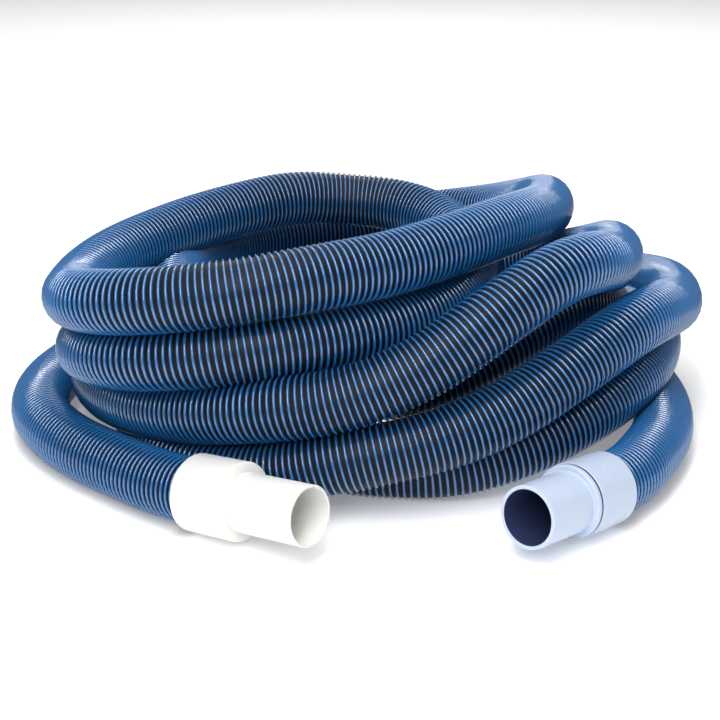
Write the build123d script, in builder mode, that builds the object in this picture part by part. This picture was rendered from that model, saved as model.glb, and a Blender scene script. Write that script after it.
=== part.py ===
from build123d import *
import os
from math import cos, pi, radians, sin, tan

# Swimming pool vacuum hose, lying in a loose coil on the floor.
# Millimetres, +Z up, the floor at z = 0.  +X is to the right and -Y to the front,
# where both cuffs lie.  The origin is under the middle of the whole coil.

# Hose
hose_od = 48.0                    # over the crests of the helical rib
hose_bore = 38.0                  # standard pool hose size
cuff_bore = 38.6                  # goes over a 38 mm spigot

# Fixed cuff: one moulding, glued on the hose
fixed_collar_wall = 4.25          # wall around the hose
fixed_collar_length = 44.0
fixed_shoulder = 3.5              # the collar slopes down to the nozzle over this length
fixed_nozzle_wall = 1.9
fixed_nozzle_length = 60.5        # from the front of the collar
fixed_seat_depth = 34.0           # length of hose inside the collar
fixed_glue_gap = 0.4              # between the end of the hose and the seat's shoulder
fixed_run_out = 30.0              # straight hose behind the collar
fixed_heading = -37.8             # direction of the mouth seen from above, degrees from +X
fixed_pitch = 5.3                 # the mouth is raised off the floor, degrees

# Swivel cuff: a sleeve on the hose and a nozzle that turns in it
sleeve_wall = 3.0
sleeve_length = 42.0
swivel_seat_depth = 24.0
swivel_run_out = 26.0
swivel_nozzle_wall = 3.0
swivel_nozzle_length = 46.4
flange_thickness = 4.5
flange_inset = 0.6                # flange radius is this much less than the sleeve's
parting_gap = 1.0                 # visible gap between sleeve and flange
swivel_heading = -132.6
swivel_pitch = 4.5
seal_thickness = 3.0
running_clearance = 0.05          # radial, spigot in lip
end_clearance = 0.3               # axial, on each side of the retained pieces
lip_length = 5.5
ring_thickness = 1.8
ring_reach = 1.4                  # retaining ring stands out of the spigot
groove_depth = 1.2
edge_round = 1.2
mouth_round = 0.8

# Places of the two collars: centre of the end where the hose goes in
fixed_place = (-121.3, -218.2)
swivel_place = (169.5, -207.4)

# Route of the hose from each cuff to the coil: x, y, and lift of its underside off
# the floor.  The first two points of each route come from its cuff's own axis.
fixed_tail_route = [
    (-184, -163, 1), (-218, -128, 0), (-247, -89, 0), (-268, -46, 0), (-277, 5, 0),
    (-273, 57, 0), (-258, 110, 0), (-233, 161, 1), (-196, 209, 2), (-146, 250, 3),
]
swivel_tail_route = [
    (210, -146, 1), (231, -98, 0), (243, -46, 0), (246, 6, 0), (241, 58, 1), (224, 108, 4),
    (194, 152, 8),
]

# Turns of the coil as four stacked rings.  Each row holds the middle of the hose at the
# left, right, front and back, the lift of the ring's underside at the left and at the
# right in hose diameters, and how many hoses wide the ring is.
coil_rings = [
    (-222, 196, -157, 276, 0.00, 0.00, 1.6),
    (-234, 277, -201, 228, 0.60, 1.36, 1.3),
    (-214, 204, -196, 226, 1.58, 2.40, 1.2),
    (-219, 161, -188, 160, 2.50, 3.20, 1.1),
]
ring_height = 1.1                 # in hose diameters

# Derived sizes
hose_r = hose_od / 2
bore_r = hose_bore / 2
mouth_r = cuff_bore / 2
fixed_collar_r = hose_r + fixed_collar_wall
fixed_nozzle_r = mouth_r + fixed_nozzle_wall
fixed_length = fixed_collar_length + fixed_nozzle_length
spigot_r = mouth_r + swivel_nozzle_wall
ring_r = spigot_r + ring_reach
cavity_r = max(hose_r, ring_r + end_clearance)
sleeve_r = cavity_r + sleeve_wall
flange_r = sleeve_r - flange_inset
groove_r = spigot_r - groove_depth
lip_start = sleeve_length - lip_length
flange_start = sleeve_length + parting_gap
flange_end = flange_start + flange_thickness
swivel_length = flange_end + swivel_nozzle_length
spigot_start = swivel_seat_depth + seal_thickness + end_clearance
ring_end = lip_start - end_clearance
ring_start = ring_end - ring_thickness


def heading_vector(heading, pitch):
    """Unit vector along a cuff, from its hose end to its mouth."""
    flat = cos(radians(pitch))
    return Vector(flat * cos(radians(heading)), flat * sin(radians(heading)), sin(radians(pitch)))


def cuff_plane(place, collar_r, heading, pitch):
    """Half-section plane of a cuff: local x runs along it to the mouth, local y is radius."""
    rest = Vector(place[0], place[1], collar_r * cos(radians(pitch)))
    side = Vector(sin(radians(heading)), -cos(radians(heading)), 0)
    return Plane(origin=rest, x_dir=heading_vector(heading, pitch), z_dir=side)


def revolved(plane, outline, rounded=()):
    """Solid of revolution about the plane's x axis; rounded holds (corner number, radius)."""
    with BuildPart() as piece:
        with BuildSketch(plane) as section:
            with BuildLine():
                Polyline(outline, close=True)
            make_face()
            for corner, radius in rounded:
                point = Vector(*outline[corner])
                near = section.sketch_local.vertices().sort_by_distance(point)[0]
                fillet(near, radius)
        revolve(axis=Axis(plane.origin, plane.x_dir))
    return piece.part


def make_fixed_cuff(plane):
    """Collar with a seat for the hose, a sloping shoulder and a thin nozzle."""
    outline = [
        (0, hose_r), (0, fixed_collar_r), (fixed_collar_length, fixed_collar_r),
        (fixed_collar_length + fixed_shoulder, fixed_nozzle_r), (fixed_length, fixed_nozzle_r),
        (fixed_length, mouth_r), (fixed_seat_depth, mouth_r), (fixed_seat_depth, hose_r),
    ]
    rounds = [(1, edge_round), (2, edge_round), (4, mouth_round), (5, mouth_round)]
    return revolved(plane, outline, rounds)


def make_swivel_sleeve(plane):
    """Collar on the hose, with a lip at the front that holds the nozzle's spigot."""
    lip_r = spigot_r + running_clearance
    outline = [
        (0, hose_r), (0, sleeve_r), (sleeve_length, sleeve_r), (sleeve_length, lip_r),
        (lip_start, lip_r), (lip_start, cavity_r + end_clearance),
        (swivel_seat_depth, cavity_r + end_clearance), (swivel_seat_depth, hose_r),
    ]
    return revolved(plane, outline, [(1, edge_round), (2, edge_round)])


def make_swivel_nozzle(plane):
    """Nozzle and flange outside, spigot with a groove inside the sleeve."""
    outline = [
        (spigot_start, mouth_r), (spigot_start, spigot_r), (ring_start, spigot_r),
        (ring_start, groove_r), (ring_end, groove_r), (ring_end, spigot_r),
        (flange_start, spigot_r), (flange_start, flange_r), (flange_end, flange_r),
        (flange_end, spigot_r), (swivel_length, spigot_r), (swivel_length, mouth_r),
    ]
    rounds = [(7, edge_round), (8, edge_round), (10, mouth_round), (11, mouth_round)]
    return revolved(plane, outline, rounds)


def make_retaining_ring(plane):
    """Split spring ring in the spigot's groove, behind the lip, drawn closed."""
    outline = [
        (ring_start, groove_r), (ring_start, ring_r), (ring_end, ring_r), (ring_end, groove_r),
    ]
    return revolved(plane, outline)


def make_seal_ring(plane):
    """Flat washer between the end of the hose and the spigot."""
    end = swivel_seat_depth + seal_thickness
    outline = [(swivel_seat_depth, bore_r), (swivel_seat_depth, hose_r), (end, hose_r), (end, bore_r)]
    return revolved(plane, outline)


def tail_points(plane, seat_depth, run_out, route):
    """Middle of the hose from the bottom of its seat to its end in the coil."""
    start = plane.origin + plane.x_dir * seat_depth
    leave = plane.origin - plane.x_dir * run_out
    return [start, leave] + [Vector(x, y, lift + hose_r) for x, y, lift in route]


def bend_radii(points):
    """Largest arc that each pair of runs allows, with a straight part left between arcs."""
    radii = []
    for before, here, after in zip(points, points[1:], points[2:]):
        arrive = here - before
        depart = after - here
        half_turn = radians(arrive.get_angle(depart)) / 2
        radii.append(0.45 * min(arrive.length, depart.length) / tan(half_turn))
    return radii


def make_tail(name, points):
    """Hollow tube along straight runs joined by tangent arcs."""
    radii = bend_radii(points)
    print(name, "bend radii", [round(radius) for radius in radii])
    with BuildPart() as tube:
        with BuildLine() as path:
            FilletPolyline(points, radius=radii)
        with BuildSketch(Plane(origin=path.line @ 0, z_dir=path.line % 0)):
            Circle(hose_r)
            Circle(bore_r, mode=Mode.SUBTRACT)
        sweep()
    section = pi * (hose_r**2 - bore_r**2)
    length = sum(edge.length for edge in path.line.edges())
    share = tube.part.volume / (section * length)
    print(name, "length", round(length), "volume over section x length", round(share, 4))
    return tube.part


def make_coil_ring(left, right, front, back, left_lift, right_lift, hoses_wide):
    """One rounded oval ring of the coil, tilted up to one side."""
    rise = (right_lift - left_lift) * hose_od
    span = right - left + hose_od
    middle = Vector((left + right) / 2, (front + back) / 2, (left_lift + right_lift) / 2 * hose_od)
    base = Plane(origin=middle, x_dir=(span, 0, rise), z_dir=(-rise, 0, span))
    half_length = span / 2 / cos(radians(Vector(span, 0, rise).get_angle(Vector(1, 0, 0))))
    half_width = (back - front + hose_od) / 2
    wall = hoses_wide * hose_od
    height = ring_height * hose_od
    with BuildPart() as ring:
        with BuildSketch(base):
            Ellipse(half_length, half_width)
            Ellipse(half_length - wall, half_width - wall, mode=Mode.SUBTRACT)
        extrude(amount=height)
        fillet(ring.edges(), 0.42 * height)
    return ring.part


def make_coil():
    """Outer shape of all the turns together, one closed solid."""
    with BuildPart() as coil:
        for row in coil_rings:
            add(make_coil_ring(*row))
    return coil.part


def save(name, part):
    part.label = name
    export_step(part, f"parts/{name}.step")


os.makedirs("parts", exist_ok=True)

fixed_plane = cuff_plane(fixed_place, fixed_collar_r, fixed_heading, fixed_pitch)
swivel_plane = cuff_plane(swivel_place, sleeve_r, swivel_heading, swivel_pitch)

save("fixed_cuff", make_fixed_cuff(fixed_plane))
save("swivel_sleeve", make_swivel_sleeve(swivel_plane))
save("swivel_nozzle", make_swivel_nozzle(swivel_plane))
save("retaining_ring", make_retaining_ring(swivel_plane))
save("seal_ring", make_seal_ring(swivel_plane))

fixed_hold = fixed_seat_depth - fixed_glue_gap
fixed_points = tail_points(fixed_plane, fixed_hold, fixed_run_out, fixed_tail_route)
swivel_points = tail_points(swivel_plane, swivel_seat_depth, swivel_run_out, swivel_tail_route)
save("hose_tail_fixed", make_tail("hose_tail_fixed", fixed_points))
save("hose_tail_swivel", make_tail("hose_tail_swivel", swivel_points))
save("hose_coil", make_coil())
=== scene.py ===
import bpy
import numpy as np
from math import cos, pi, radians, sin
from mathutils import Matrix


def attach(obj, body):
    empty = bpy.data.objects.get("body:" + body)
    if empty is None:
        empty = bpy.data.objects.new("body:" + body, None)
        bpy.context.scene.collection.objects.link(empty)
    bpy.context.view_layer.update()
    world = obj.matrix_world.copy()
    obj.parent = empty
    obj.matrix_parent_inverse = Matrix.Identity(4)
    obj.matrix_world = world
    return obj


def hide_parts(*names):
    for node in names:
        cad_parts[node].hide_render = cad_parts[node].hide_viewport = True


# Swimming pool vacuum hose in a loose coil on the floor, with a fixed cuff at one end
# and a swivel cuff at the other.  Metres, +Z up, both cuffs at the front (-Y).

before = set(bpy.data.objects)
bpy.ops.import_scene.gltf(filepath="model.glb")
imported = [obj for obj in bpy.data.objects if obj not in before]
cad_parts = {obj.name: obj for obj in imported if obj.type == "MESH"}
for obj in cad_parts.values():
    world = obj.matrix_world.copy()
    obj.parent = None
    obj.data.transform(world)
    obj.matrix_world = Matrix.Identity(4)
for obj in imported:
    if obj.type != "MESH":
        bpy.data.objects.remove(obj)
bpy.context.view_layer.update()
scene = bpy.context.scene


# ---- Camera ----------------------------------------------------------------------------
# It stands in front of the coil at knee height and looks 18 degrees down at it.

looks_down = 18

lens = bpy.data.cameras.new("studio_camera")
lens.lens = 75.0
lens.sensor_width = 36.0
camera = bpy.data.objects.new("studio_camera", lens)
camera.location = (-0.006, -1.200, 0.4456)
camera.rotation_euler = (radians(90 - looks_down), 0, 0)
scene.collection.objects.link(camera)
scene.camera = camera


# ---- Hose: route -----------------------------------------------------------------------
# One length of flexible hose, 48 mm over the rib.  It runs straight out of the fixed
# cuff, round the left side, through six and a half loose turns that climb and come down
# again, and round the right side into the swivel cuff.

hose_diameter = 0.048
hose_r = hose_diameter / 2


def cuff_axis(heading, pitch):
    """Unit vector from a cuff's hose end to its mouth, from two angles in degrees.

    It is the heading seen from above, shortened by the cosine of the pitch, and it
    rises by the pitch's sine.
    """
    flat = cos(radians(pitch))
    along = (flat * cos(radians(heading)), flat * sin(radians(heading)), sin(radians(pitch)))
    return np.round(along, 6)


fixed_origin = np.array((-0.1213, -0.2182, 0.02813))
fixed_axis = cuff_axis(-37.8, 5.3)
fixed_seat = 0.0336
fixed_run_out = 0.030
swivel_origin = np.array((0.1695, -0.2074, 0.02692))
swivel_axis = cuff_axis(-132.6, 4.5)
swivel_seat = 0.024
swivel_run_out = 0.026

fixed_tail = [
    tuple(fixed_origin + fixed_seat * fixed_axis),
    tuple(fixed_origin - fixed_run_out * fixed_axis),
    (-0.184, -0.163, 0.025), (-0.218, -0.128, 0.024), (-0.247, -0.089, 0.024),
    (-0.268, -0.046, 0.024), (-0.277, 0.005, 0.024), (-0.273, 0.057, 0.024),
    (-0.258, 0.110, 0.024), (-0.233, 0.161, 0.025), (-0.196, 0.209, 0.026),
    (-0.146, 0.250, 0.027),
]
swivel_tail = [
    tuple(swivel_origin + swivel_seat * swivel_axis),
    tuple(swivel_origin - swivel_run_out * swivel_axis),
    (0.210, -0.146, 0.025), (0.231, -0.098, 0.024), (0.243, -0.046, 0.024),
    (0.246, 0.006, 0.024), (0.241, 0.058, 0.025), (0.224, 0.108, 0.028),
    (0.194, 0.152, 0.032),
]

# Half turns of the coil, in millimetres.  Each row starts at one side, left and right by
# turns, and holds: x and height there, then y and height at the back or the front that
# follows, how many degrees late the hose gets there, and how far it humps up on the way
# there and on the way from there.
half_turns = np.array([
    (-280,  24,  290,  35,  15,   0,   0),
    ( 270,  95, -200,  55,  10,  40, -20),
    (-185,  24,  255,  24,  15,   0,   0),
    ( 250,  70, -165,  24,   5,  10,   0),
    (-130,  24,  185,  85,   0, -15,   5),
    ( 205,  90, -130,  70,  10,  40,   5),
    (-165, 120,  240, 115,   0,  -5,  -5),
    ( 155, 175, -195, 175,  20,  10,   0),
    (-225, 140,  155, 165,  25,   0,   5),
    (  90, 135, -185, 125,  10,   0,   0),
    (-220,  95,  130,  80,  20, -15,  -5),
    ( 200, 155, -200,  90,   5,  45,  -5),
    (-230,  40,  230,  70, -10,   5, -20),
    ( 245,  24, -165,  24,   0,   0,   0),
])
front_before = -155
floor_height = 24
first_quarter, last_quarter = 1, 25 + 1 / 3
points_per_quarter = 6


def coil_points(rows, before, first, last, per_quarter):
    """Points on the middle line of the coil, from quarter number first to last.

    Quarter numbers are even at the sides and odd at the back and front.  x goes from
    side to side and y from back to front along half cosines, y running late by the
    row's lean.  The height goes straight from quarter to quarter, plus the row's hump
    times a squared sine, and never less than the hose needs to lie on the floor.
    """
    quarter = np.arange(round(first * per_quarter), round(last * per_quarter) + 1) / per_quarter
    side = (quarter / 2).astype(int)
    share = quarter / 2 - side
    x0, x1 = rows[side, 0], rows[side + 1, 0]
    x = (x0 + x1) / 2 - (x1 - x0) / 2 * np.cos(pi * share)
    lean = np.interp(quarter, 0.5 + 2 * np.arange(len(rows)), rows[:, 4])
    late = (quarter - 1 - lean / 90) / 2
    far = np.floor(late).astype(int)
    depth = np.concatenate(([before], rows[:, 2]))
    y0, y1 = depth[far + 1], depth[far + 2]
    y = (y0 + y1) / 2 + (y0 - y1) / 2 * np.cos(pi * (late - far))
    height = rows[:, [1, 3]].ravel()
    hump = rows[:, [5, 6]].ravel()
    here = quarter.astype(int)
    part = quarter - here
    z = height[here] + (height[here + 1] - height[here]) * part
    z = np.maximum(z + hump[here] * np.sin(pi * part) ** 2, floor_height)
    return np.stack([x, y, z], axis=1) / 1000


turns = coil_points(half_turns, front_before, first_quarter, last_quarter, points_per_quarter)
route = np.vstack([fixed_tail, turns, swivel_tail[::-1]])

line_data = bpy.data.curves.new("hose_route", "CURVE")
line_data.dimensions = "3D"
spline = line_data.splines.new("NURBS")
spline.points.add(len(route) - 1)
spline.points.foreach_set("co", np.c_[route, np.ones(len(route))].ravel())
spline.order_u = 3
spline.use_endpoint_u = True
spline.resolution_u = 14
line_object = bpy.data.objects.new("hose_route", line_data)
line_mesh = bpy.data.meshes.new_from_object(line_object)
line = np.empty(3 * len(line_mesh.vertices))
line_mesh.vertices.foreach_get("co", line)
line = line.reshape(-1, 3)
apart = np.linalg.norm(np.diff(line, axis=0), axis=1) > 1e-6
line = line[np.concatenate(([True], apart))]
bpy.data.objects.remove(line_object)
bpy.data.meshes.remove(line_mesh)
bpy.data.curves.remove(line_data)

reach = np.concatenate(([0.0], np.cumsum(np.linalg.norm(np.diff(line, axis=0), axis=1))))
hose_length = reach[-1]


def line_place(distance):
    """Place on the hose's middle line at each distance from the fixed cuff's end."""
    return np.stack([np.interp(distance, reach, line[:, k]) for k in range(3)], axis=-1)


def hose_surface(distance, angle, radius):
    """Points on a tube round the hose's middle line.

    A point is the line's place at that distance, plus radius times the cosine of the
    angle upwards and the sine of the angle sideways, both square to the line.
    """
    step = 0.003
    ahead = line_place(np.clip(distance + step, 0, hose_length))
    behind = line_place(np.clip(distance - step, 0, hose_length))
    along = ahead - behind
    along /= np.linalg.norm(along, axis=-1, keepdims=True)
    across = np.cross(along, (0.0, 0.0, 1.0))
    across /= np.linalg.norm(across, axis=-1, keepdims=True)
    upward = np.cross(across, along)
    return line_place(distance) + radius[..., None] * (
        np.cos(angle)[..., None] * upward + np.sin(angle)[..., None] * across
    )


def grid_mesh(name, grid, wrap_rows=True, uv=None):
    """Mesh of quads on a grid of points (rows, columns, 3), closed along its columns.

    With wrap_rows its last row joins its first, and without it each end row is closed
    by one face.  uv, if given, holds a pair for each corner of the grid, with the first
    row and column repeated at the end.
    """
    rows, columns = grid.shape[:2]
    number = np.arange(rows * columns).reshape(rows, columns)
    if wrap_rows:
        low, high = number, np.roll(number, -1, axis=0)
    else:
        low, high = number[:-1], number[1:]
    quads = np.stack(
        [low, np.roll(low, -1, axis=1), np.roll(high, -1, axis=1), high], axis=-1
    ).reshape(-1, 4)
    faces = quads.tolist()
    if not wrap_rows:
        faces.append(number[0][::-1].tolist())
        faces.append(number[-1].tolist())
    mesh = bpy.data.meshes.new(name)
    mesh.from_pydata(grid.reshape(-1, 3), [], faces)
    if uv is not None:
        corner = np.stack([uv[:-1, :-1], uv[:-1, 1:], uv[1:, 1:], uv[1:, :-1]], axis=2)
        flat = np.zeros((len(mesh.loops), 2))
        flat[: corner.reshape(-1, 2).shape[0]] = corner.reshape(-1, 2)
        layer = mesh.uv_layers.new(name="UVMap")
        layer.data.foreach_set("uv", flat.ravel())
    mesh.shade_smooth()
    mesh.update()
    piece = bpy.data.objects.new(name, mesh)
    scene.collection.objects.link(piece)
    return piece


# ---- Hose: wall ------------------------------------------------------------------------
# The wall is a black EVA strip wound round and welded to itself, 38 mm inside.  The
# weld is a fine line under the rib, so it shows only inside.  Both ends are glued into
# the cuffs.

rib_pitch = 0.0047
weld_phase = 0.36
web_r = 0.0222
bore_r = 0.0190
wall_around = 32
wall_rings = int(hose_length / 0.008)
wall_distance = np.linspace(0, hose_length, wall_rings)


def wall_grid():
    """Rings of the tube in order along the hose outside, then back again inside."""
    distance = np.concatenate((wall_distance, wall_distance[::-1]))[:, None]
    radius = np.concatenate((np.full(wall_rings, web_r), np.full(wall_rings, bore_r)))[:, None]
    angle = np.arange(wall_around)[None, :] * 2 * pi / wall_around
    distance, angle, radius = np.broadcast_arrays(distance, angle, radius)
    return hose_surface(distance, angle, radius)


def wall_uv():
    """u counts pitches of the rib, falling by one round the hose; v is round the hose."""
    distance = np.concatenate((wall_distance, wall_distance[::-1], wall_distance[:1]))[:, None]
    turn = np.arange(wall_around + 1)[None, :] / wall_around
    return np.stack(np.broadcast_arrays(distance / rib_pitch - turn, turn), axis=-1)


def plastic(name, colour, roughness, level=0.5):
    """Plain moulded plastic: its colour, roughness and level of shine; (material, shader)."""
    material = bpy.data.materials.new(name)
    material.use_nodes = True
    shader = material.node_tree.nodes["Principled BSDF"]
    shader.inputs["Base Color"].default_value = (*colour, 1)
    shader.inputs["Roughness"].default_value = roughness
    shader.inputs["Specular IOR Level"].default_value = level
    return material, shader


def node(material, kind, **inputs):
    """A node with inputs set by name, _ for a space, or by number as in _0."""
    new = material.node_tree.nodes.new(kind)
    for key, value in inputs.items():
        socket = new.inputs[int(key[1:])] if key[0] == "_" else new.inputs[key.replace("_", " ")]
        if isinstance(value, bpy.types.NodeSocket):
            material.node_tree.links.new(value, socket)
        else:
            socket.default_value = value
    return new


def mixed(material, share, first, second):
    """Colour that goes from first to second with share; each is a colour or a socket."""
    mix = material.node_tree.nodes.new("ShaderNodeMix")
    mix.data_type = "RGBA"
    material.node_tree.links.new(share, mix.inputs[0])
    for socket, colour in ((mix.inputs[6], first), (mix.inputs[7], second)):
        if isinstance(colour, bpy.types.NodeSocket):
            material.node_tree.links.new(colour, socket)
        else:
            socket.default_value = (*colour, 1)
    return mix.outputs[2]


def spread(material, value, low, high, to_low, to_high):
    """value stretched so that low gives to_low and high gives to_high."""
    step = node(material, "ShaderNodeMapRange", Value=value)
    step.inputs["From Min"].default_value = low
    step.inputs["From Max"].default_value = high
    step.inputs["To Min"].default_value = to_low
    step.inputs["To Max"].default_value = to_high
    return step.outputs["Result"]


def noise(material, scale, detail):
    """Soft spots fixed to the piece, about scale of them to a metre."""
    place = node(material, "ShaderNodeTexCoord")
    spots = node(
        material, "ShaderNodeTexNoise", Vector=place.outputs["Object"], Scale=scale, Detail=detail
    )
    return spots.outputs["Fac"]


def vary(material, shader, spots, colours, roughness):
    """Lets colour and roughness drift between two values each; returns the colour."""
    links = material.node_tree.links
    colour = mixed(material, spots, *colours)
    links.new(colour, shader.inputs["Base Color"])
    links.new(spread(material, spots, 0.3, 0.7, *roughness), shader.inputs["Roughness"])
    return colour


def grain(material, shader, scale, detail, strength, over=None):
    """Fine grain 0.2 mm deep, on top of the bump over if there is one."""
    bump = node(
        material, "ShaderNodeBump", Strength=strength, Distance=0.0002,
        Height=noise(material, scale, detail),
    )
    if over is not None:
        material.node_tree.links.new(over, bump.inputs["Normal"])
    material.node_tree.links.new(bump.outputs["Normal"], shader.inputs["Normal"])


black_web, web_shader = plastic("black_web", (0.005, 0.005, 0.007), 0.50, 0.15)
vary(
    black_web, web_shader, noise(black_web, 38.0, 4.0),
    colours=((0.003, 0.003, 0.005), (0.006, 0.007, 0.010)), roughness=(0.44, 0.56),
)
web_uv = node(black_web, "ShaderNodeUVMap")
web_uv.uv_map = "UVMap"
web_split = node(black_web, "ShaderNodeSeparateXYZ", Vector=web_uv.outputs["UV"])
web_phase = node(black_web, "ShaderNodeMath", _0=web_split.outputs["X"])
web_phase.operation = "FRACT"
weld = node(black_web, "ShaderNodeMath", _0=web_phase.outputs[0], _1=weld_phase)
weld.operation = "SUBTRACT"
weld_off = node(black_web, "ShaderNodeMath", _0=weld.outputs[0])
weld_off.operation = "ABSOLUTE"
weld_line = spread(black_web, weld_off.outputs[0], 0.0, 0.035, 1.0, 0.0)
weld_bump = node(black_web, "ShaderNodeBump", Strength=0.5, Distance=0.0004, Height=weld_line)
grain(black_web, web_shader, 1400.0, 2.0, 0.12, over=weld_bump.outputs["Normal"])

hose_wall = grid_mesh("hose_wall", wall_grid(), uv=wall_uv())
hose_wall.data.materials.append(black_web)
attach(hose_wall, "hose")
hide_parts("hose_coil", "hose_tail_fixed", "hose_tail_swivel")


# ---- Hose: rib -------------------------------------------------------------------------
# A stiff blue bead is welded on the outside of the wall in one long helix.  It keeps the
# hose round under suction and takes the wear.  It is built here in three lengths that meet
# end to end.

rib_half_width = 0.00105
rib_start = 0.0015
rib_sunk = 0.0004
rib_shoulder = 0.0006
rib_around = 24
rib_section = np.array([
    (-1.00, web_r - rib_sunk), (-0.74, hose_r - rib_shoulder), (0.00, hose_r),
    (0.74, hose_r - rib_shoulder), (1.00, web_r - rib_sunk),
])


def rib_grid(first_turn, last_turn):
    """The bead's section carried along a helix: one pitch along the hose for each turn.

    The section is pairs of (share of half the width, radius), from its far side back.
    """
    steps = np.arange(round(first_turn * rib_around), round(last_turn * rib_around) + 1)
    turn = steps[:, None] / rib_around
    offset = rib_section[None, ::-1, 0] * rib_half_width
    distance = np.clip(turn * rib_pitch + offset + rib_start, 0, hose_length)
    radius = rib_section[None, ::-1, 1]
    distance, angle, radius = np.broadcast_arrays(distance, turn * 2 * pi, radius)
    return hose_surface(distance, angle, radius)


rib_blue, rib_shader = plastic("rib_blue", (0.012, 0.112, 0.310), 0.20, 1.0)
rib_shader.inputs["Coat Weight"].default_value = 0.6
rib_shader.inputs["Coat Roughness"].default_value = 0.16
vary(
    rib_blue, rib_shader, noise(rib_blue, 24.0, 3.0),
    colours=((0.010, 0.100, 0.280), (0.014, 0.124, 0.340)), roughness=(0.18, 0.24),
)

rib_turns = int((hose_length - 2 * rib_start) / rib_pitch)
for number, place in enumerate(("fixed", "middle", "swivel")):
    first, last = rib_turns * number // 3, rib_turns * (number + 1) // 3
    rib = grid_mesh("hose_rib_" + place, rib_grid(first, last), wrap_rows=False)
    rib.data.materials.append(rib_blue)
    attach(rib, "hose")


# ---- Fixed cuff ------------------------------------------------------------------------
# One injection moulding in white plastic: a collar glued over the hose, a short steep
# shoulder, and a thin nozzle that pushes over a 38 mm spigot.

cuff_around = 128
mould_draft = 0.0001
seat_r = 0.02402
collar_r = 0.02825
collar_length = 0.0440
shoulder_end = 0.0462
nozzle_r = 0.0212
fixed_length = 0.1045
fixed_seat_end = 0.0340
fixed_bore_r = 0.01925
fixed_mouth_r = 0.0195


def rounded_outline(corners, closed_by=0.0005):
    """Closed outline of (along, radius) corners, each with a rounding radius.

    A corner becomes six points on its arc, which touches both runs that meet there,
    and every straight run gets a point close to each of its ends, so that smooth
    shading keeps the run flat.
    """
    points = []
    count = len(corners)
    for k in range(count):
        here = np.array(corners[k][:2])
        before = np.array(corners[k - 1][:2]) - here
        after = np.array(corners[(k + 1) % count][:2]) - here
        before /= np.linalg.norm(before)
        after /= np.linalg.norm(after)
        radius = corners[k][2]
        half = np.arccos(np.clip(before @ after, -1, 1)) / 2
        back = radius / np.tan(half)
        centre = here + (before + after) / np.linalg.norm(before + after) * radius / np.sin(half)
        start = here + before * back - centre
        end = here + after * back - centre
        points.append(here + before * (back + closed_by))
        share = np.linspace(0, 1, 6)[:, None]
        arc = start * (1 - share) + end * share
        arc *= radius / np.linalg.norm(arc, axis=1, keepdims=True)
        points.extend(centre + arc)
        points.append(here + after * (back + closed_by))
    return np.array(points)


def turned_grid(outline, origin, axis, around):
    """An outline of (along, radius) turned about the axis.

    A point is the origin plus along times the axis, plus radius times a spoke that goes
    round the axis.
    """
    across = np.cross(axis, (0.0, 0.0, 1.0))
    across /= np.linalg.norm(across)
    upward = np.cross(across, axis)
    angle = np.arange(around) * 2 * pi / around
    spoke = np.cos(angle)[:, None] * upward + np.sin(angle)[:, None] * across
    return origin + outline[:, None, :1] * axis + outline[:, None, 1:] * spoke[None, :, :]


fixed_cuff_corners = [
    (0.0, seat_r, 0.0005), (0.0, collar_r - 2 * mould_draft, 0.0010),
    (collar_length, collar_r, 0.0010), (shoulder_end, nozzle_r + mould_draft, 0.0004),
    (fixed_length, nozzle_r, 0.0004), (fixed_length, fixed_mouth_r, 0.0005),
    (fixed_seat_end + mould_draft, fixed_bore_r, 0.0002), (fixed_seat_end, seat_r, 0.0002),
]
cuff_white, white_shader = plastic("cuff_white", (0.745, 0.745, 0.72), 0.34)
white_shader.inputs["Subsurface Weight"].default_value = 0.6
white_shader.inputs["Subsurface Radius"].default_value = (0.006, 0.006, 0.005)
white_shader.inputs["Subsurface Scale"].default_value = 1.0
vary(
    cuff_white, white_shader, noise(cuff_white, 30.0, 3.0),
    colours=((0.76, 0.76, 0.735), (0.73, 0.73, 0.70)), roughness=(0.28, 0.40),
)
grain(cuff_white, white_shader, 900.0, 2.0, 0.06)

fixed_cuff = grid_mesh(
    "fixed_cuff_moulding",
    turned_grid(rounded_outline(fixed_cuff_corners), fixed_origin, fixed_axis, cuff_around),
)
fixed_cuff.data.materials.append(cuff_white)
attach(fixed_cuff, "hose")
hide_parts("fixed_cuff")


# ---- Swivel sleeve ---------------------------------------------------------------------
# The rear part of the swivel cuff, in pale blue plastic, glued on the hose.  A lip at its
# front holds the turning nozzle in.


cuff_blue, blue_shader = plastic("cuff_blue", (0.465, 0.545, 0.685), 0.32)
outside_blue = vary(
    cuff_blue, blue_shader, noise(cuff_blue, 34.0, 3.0),
    colours=((0.48, 0.56, 0.70), (0.45, 0.53, 0.67)), roughness=(0.27, 0.38),
)
# Painted shade: the bore and the faces deep in the parting gap are coloured dark navy, where the
# inside of the cuff lies in shade.
bore_shade_mark = cuff_blue.node_tree.nodes.new("ShaderNodeAttribute")
bore_shade_mark.attribute_name = "bore"
bore_shade_navy = (0.030, 0.040, 0.110)
cuff_blue.node_tree.links.new(
    mixed(cuff_blue, bore_shade_mark.outputs["Fac"], outside_blue, bore_shade_navy),
    blue_shader.inputs["Base Color"],
)
grain(cuff_blue, blue_shader, 900.0, 2.0, 0.06)

parting_from, parting_to = 0.0418, 0.0433
parting_margin = 0.0004
parting_r = 0.0259


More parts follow.
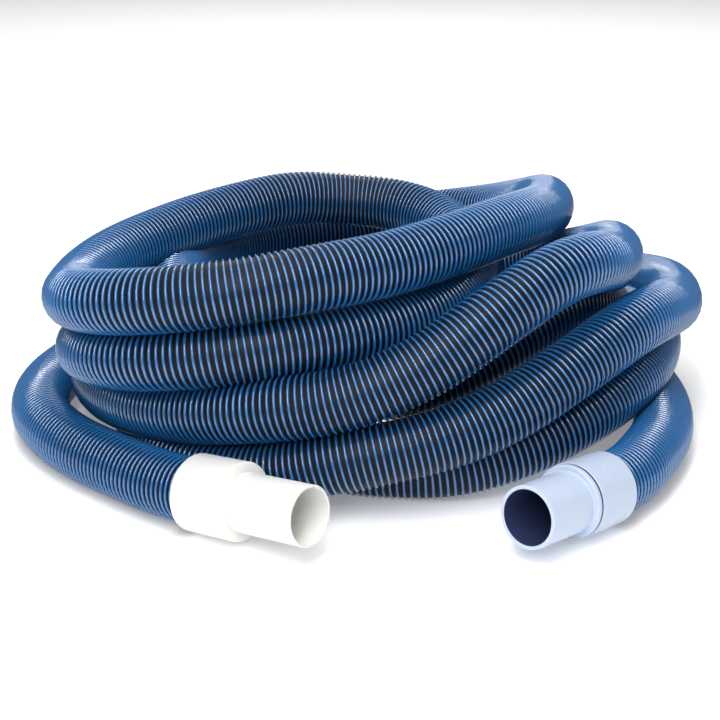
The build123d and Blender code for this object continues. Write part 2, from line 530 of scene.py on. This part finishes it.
def paint_bore_shade(piece, origin, axis, radius):
    """Attribute bore, a painted shade mask: 1 nearer to the axis than radius and deep in the
    parting gap, else 0.

    Along is how far a point lies along the axis, and out is how far it lies from it.
    """
    place = np.empty(3 * len(piece.data.vertices))
    piece.data.vertices.foreach_get("co", place)
    off = place.reshape(-1, 3) - origin
    along = off @ axis
    out = np.linalg.norm(off - along[:, None] * axis, axis=1)
    facing = (along > parting_from - 2 * parting_margin) & (along < parting_to + parting_margin)
    inner = ((out < radius) | facing & (out < parting_r)).astype(float)
    layer = piece.data.attributes.new("bore", "FLOAT", "POINT")
    layer.data.foreach_set("value", inner)


sleeve_r = 0.0270
lip_r = 0.02237
lip_from = 0.0365
cavity_r = 0.0243
sleeve_corners = [
    (0.0, seat_r, 0.0005), (0.0, sleeve_r - mould_draft, 0.0010),
    (parting_from, sleeve_r, 0.0006), (parting_from, lip_r, 0.0003),
    (lip_from + mould_draft, lip_r, 0.0003), (lip_from, cavity_r, 0.0003),
    (swivel_seat + mould_draft, cavity_r, 0.00005), (swivel_seat, seat_r, 0.00005),
]
swivel_sleeve = grid_mesh(
    "swivel_sleeve_moulding",
    turned_grid(rounded_outline(sleeve_corners), swivel_origin, swivel_axis, cuff_around),
)
swivel_sleeve.data.materials.append(cuff_blue)
# Painted shade: dark navy on the faces deep in the parting gap.
paint_bore_shade(swivel_sleeve, swivel_origin, swivel_axis, 0.0220)
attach(swivel_sleeve, "hose")
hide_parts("swivel_sleeve")


# ---- Swivel nozzle ---------------------------------------------------------------------
# The front part, which turns.  Its flange runs in front of the sleeve with a fine gap, and
# its spigot goes back inside the sleeve.  Its bore and the faces in the parting gap carry painted
# shade in dark navy.

spigot_from = 0.0273
spigot_r = 0.0223
groove_from, groove_to = 0.0344, 0.0362
groove_r = 0.0211
flange_to = 0.0475
flange_r = 0.0264
swivel_length = 0.0939
swivel_bore_r = 0.0193
swivel_mouth_r = 0.01945
nozzle_corners = [
    (spigot_from, swivel_bore_r, 0.0003), (spigot_from, spigot_r, 0.0003),
    (groove_from, spigot_r, 0.00005), (groove_from, groove_r, 0.00005),
    (groove_to, groove_r, 0.00005), (groove_to, spigot_r, 0.00005),
    (parting_to, spigot_r, 0.0002), (parting_to, flange_r, 0.0005),
    (flange_to, flange_r, 0.0011), (flange_to, spigot_r + mould_draft, 0.0007),
    (swivel_length, spigot_r, 0.0004), (swivel_length, swivel_mouth_r, 0.0004),
]
nozzle_outline = rounded_outline(nozzle_corners, closed_by=0.0001)
swivel_nozzle = grid_mesh(
    "swivel_nozzle_moulding",
    turned_grid(nozzle_outline, swivel_origin, swivel_axis, cuff_around),
)
swivel_nozzle.data.materials.append(cuff_blue)
# Painted shade: dark navy in the bore and deep in the parting gap.
paint_bore_shade(swivel_nozzle, swivel_origin, swivel_axis, 0.0197)
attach(swivel_nozzle, "nozzle")
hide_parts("swivel_nozzle")


# ---- Retaining ring and seal -----------------------------------------------------------
# A split white spring ring sits in the spigot's groove behind the lip, and a flat rubber
# washer lies between the end of the hose and the spigot.  Both keep their CAD shape.

spring_white = (0.78, 0.78, 0.75)
ring_white, ring_shader = plastic("ring_white", spring_white, 0.45)
vary(
    ring_white, ring_shader, noise(ring_white, 200.0, 2.0),
    colours=(spring_white, spring_white), roughness=(0.38, 0.52),
)
seal_rubber, seal_shader = plastic("seal_rubber", (0.020, 0.020, 0.021), 0.70, 0.3)
grain(seal_rubber, seal_shader, 900.0, 3.0, 0.25)
for name, material in (("retaining_ring", ring_white), ("seal_ring", seal_rubber)):
    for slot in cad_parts[name].material_slots:
        slot.material = material


# ---- Floor and light -------------------------------------------------------------------
# A plain pale floor that glows faintly, a large soft light overhead, a narrow one in front
# that draws the streaks on the rib, and one that lights the floor behind.

floor_mesh = bpy.data.meshes.new("floor")
floor_mesh.from_pydata([(-6, -6, 0), (6, -6, 0), (6, 6, 0), (-6, 6, 0)], [], [(0, 1, 2, 3)])
floor = bpy.data.objects.new("floor", floor_mesh)
scene.collection.objects.link(floor)
pale_floor, floor_shader = plastic("pale_floor", (0.94, 0.94, 0.94), 0.8, 0.2)
floor_shader.inputs["Emission Color"].default_value = (1.0, 1.0, 1.0, 1)
floor_shader.inputs["Emission Strength"].default_value = 0.22
floor.data.materials.append(pale_floor)

world = bpy.data.worlds.new("studio")
world.use_nodes = True
world.node_tree.nodes["Background"].inputs["Color"].default_value = (1.0, 1.0, 1.0, 1)
world.node_tree.nodes["Background"].inputs["Strength"].default_value = 0.36
scene.world = world


def soft_light(name, place, target, width, length, power):
    """Rectangular area light at place, turned to face target."""
    data = bpy.data.lights.new(name, "AREA")
    data.shape = "RECTANGLE"
    data.size = width
    data.size_y = length
    data.energy = power
    light = bpy.data.objects.new(name, data)
    away = np.array(place) - np.array(target)
    flat = np.hypot(away[0], away[1])
    light.location = place
    light.rotation_euler = (
        np.arctan2(flat, away[2]), 0, np.arctan2(away[0], -away[1]),
    )
    scene.collection.objects.link(light)


soft_light("top_light", (0, -0.15, 1.75), (0, -0.05, 0.05), 1.1, 1.1, 13)
soft_light("strip_light", (-0.12, -1.05, 1.05), (0, 0, 0.10), 0.3, 1.2, 17)
soft_light("back_light", (0.0, 2.6, 2.4), (0, 2.2, 0), 2.4, 2.4, 45)

scene.view_settings.view_transform = "Standard"
